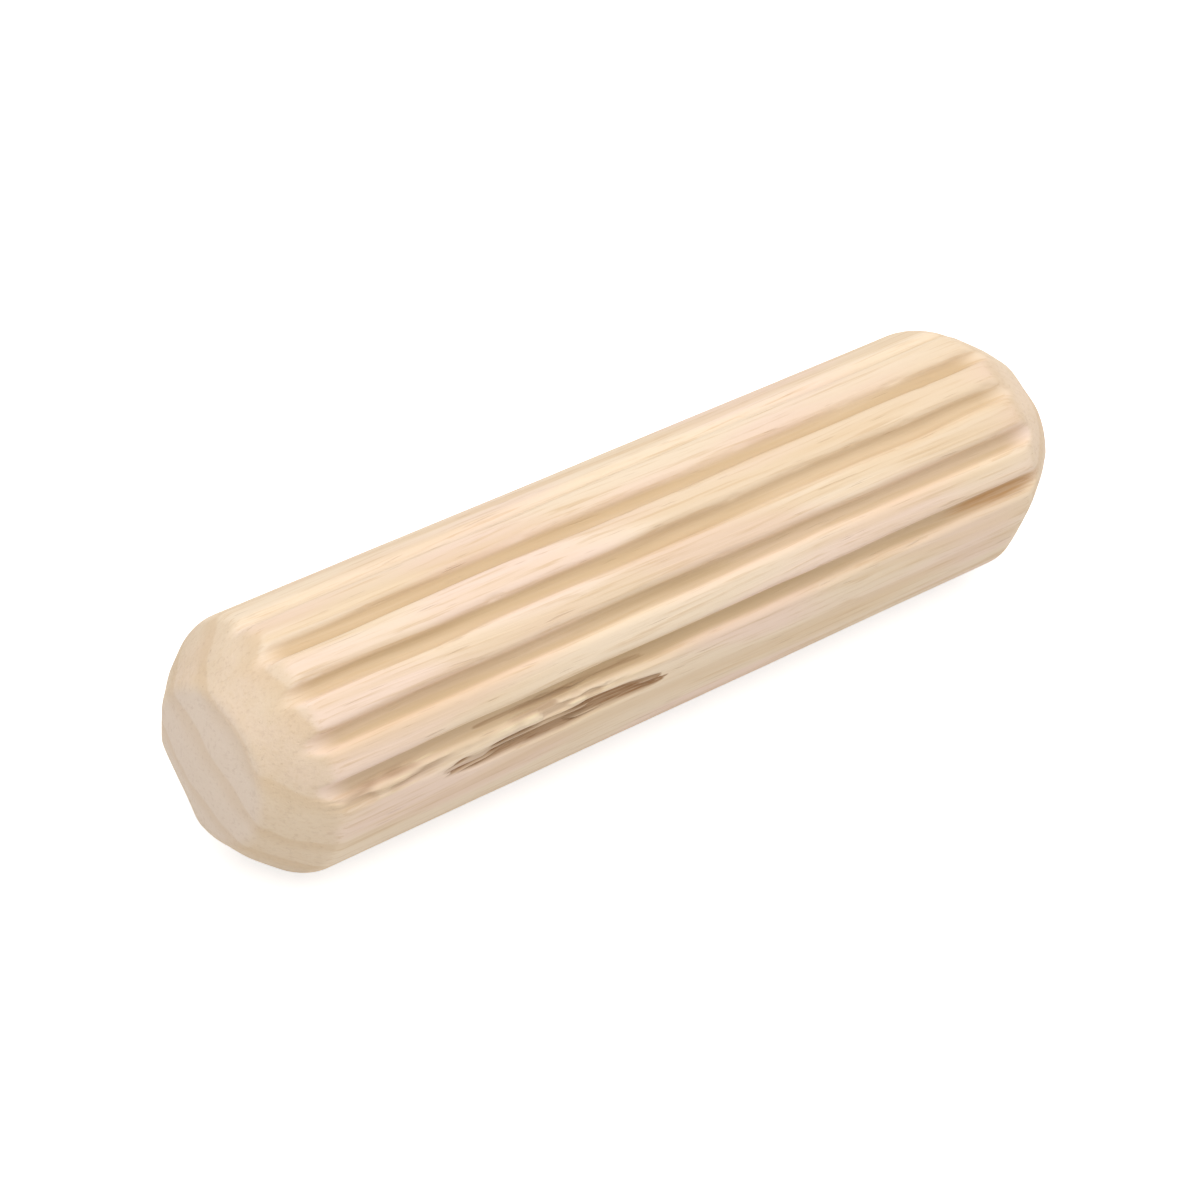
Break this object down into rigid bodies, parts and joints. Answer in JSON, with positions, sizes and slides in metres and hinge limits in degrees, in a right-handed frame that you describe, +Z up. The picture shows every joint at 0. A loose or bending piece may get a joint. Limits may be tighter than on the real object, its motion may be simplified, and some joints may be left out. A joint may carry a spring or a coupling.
{
  "type": "dowel pin",
  "caption": "Straight wooden dowel pin with lengthwise flutes on opposite faces, plain side strips and rounded chamfers at its sawn ends, lying on its side.",
  "frame": {"origin": "middle of the pin, on its axis", "axes": "+X along the pin's axis towards its right end, +Z up with the pin lying on its side, -Y towards the side with the torn grain"},
  "size_m": [0.04, 0.01, 0.01],
  "materials": {
    "birch": "bare moulded birch, matt, with sawn end grain"
  },
  "bodies": {
    "root": {"pin": "birch"}
  },
  "joints": []
}
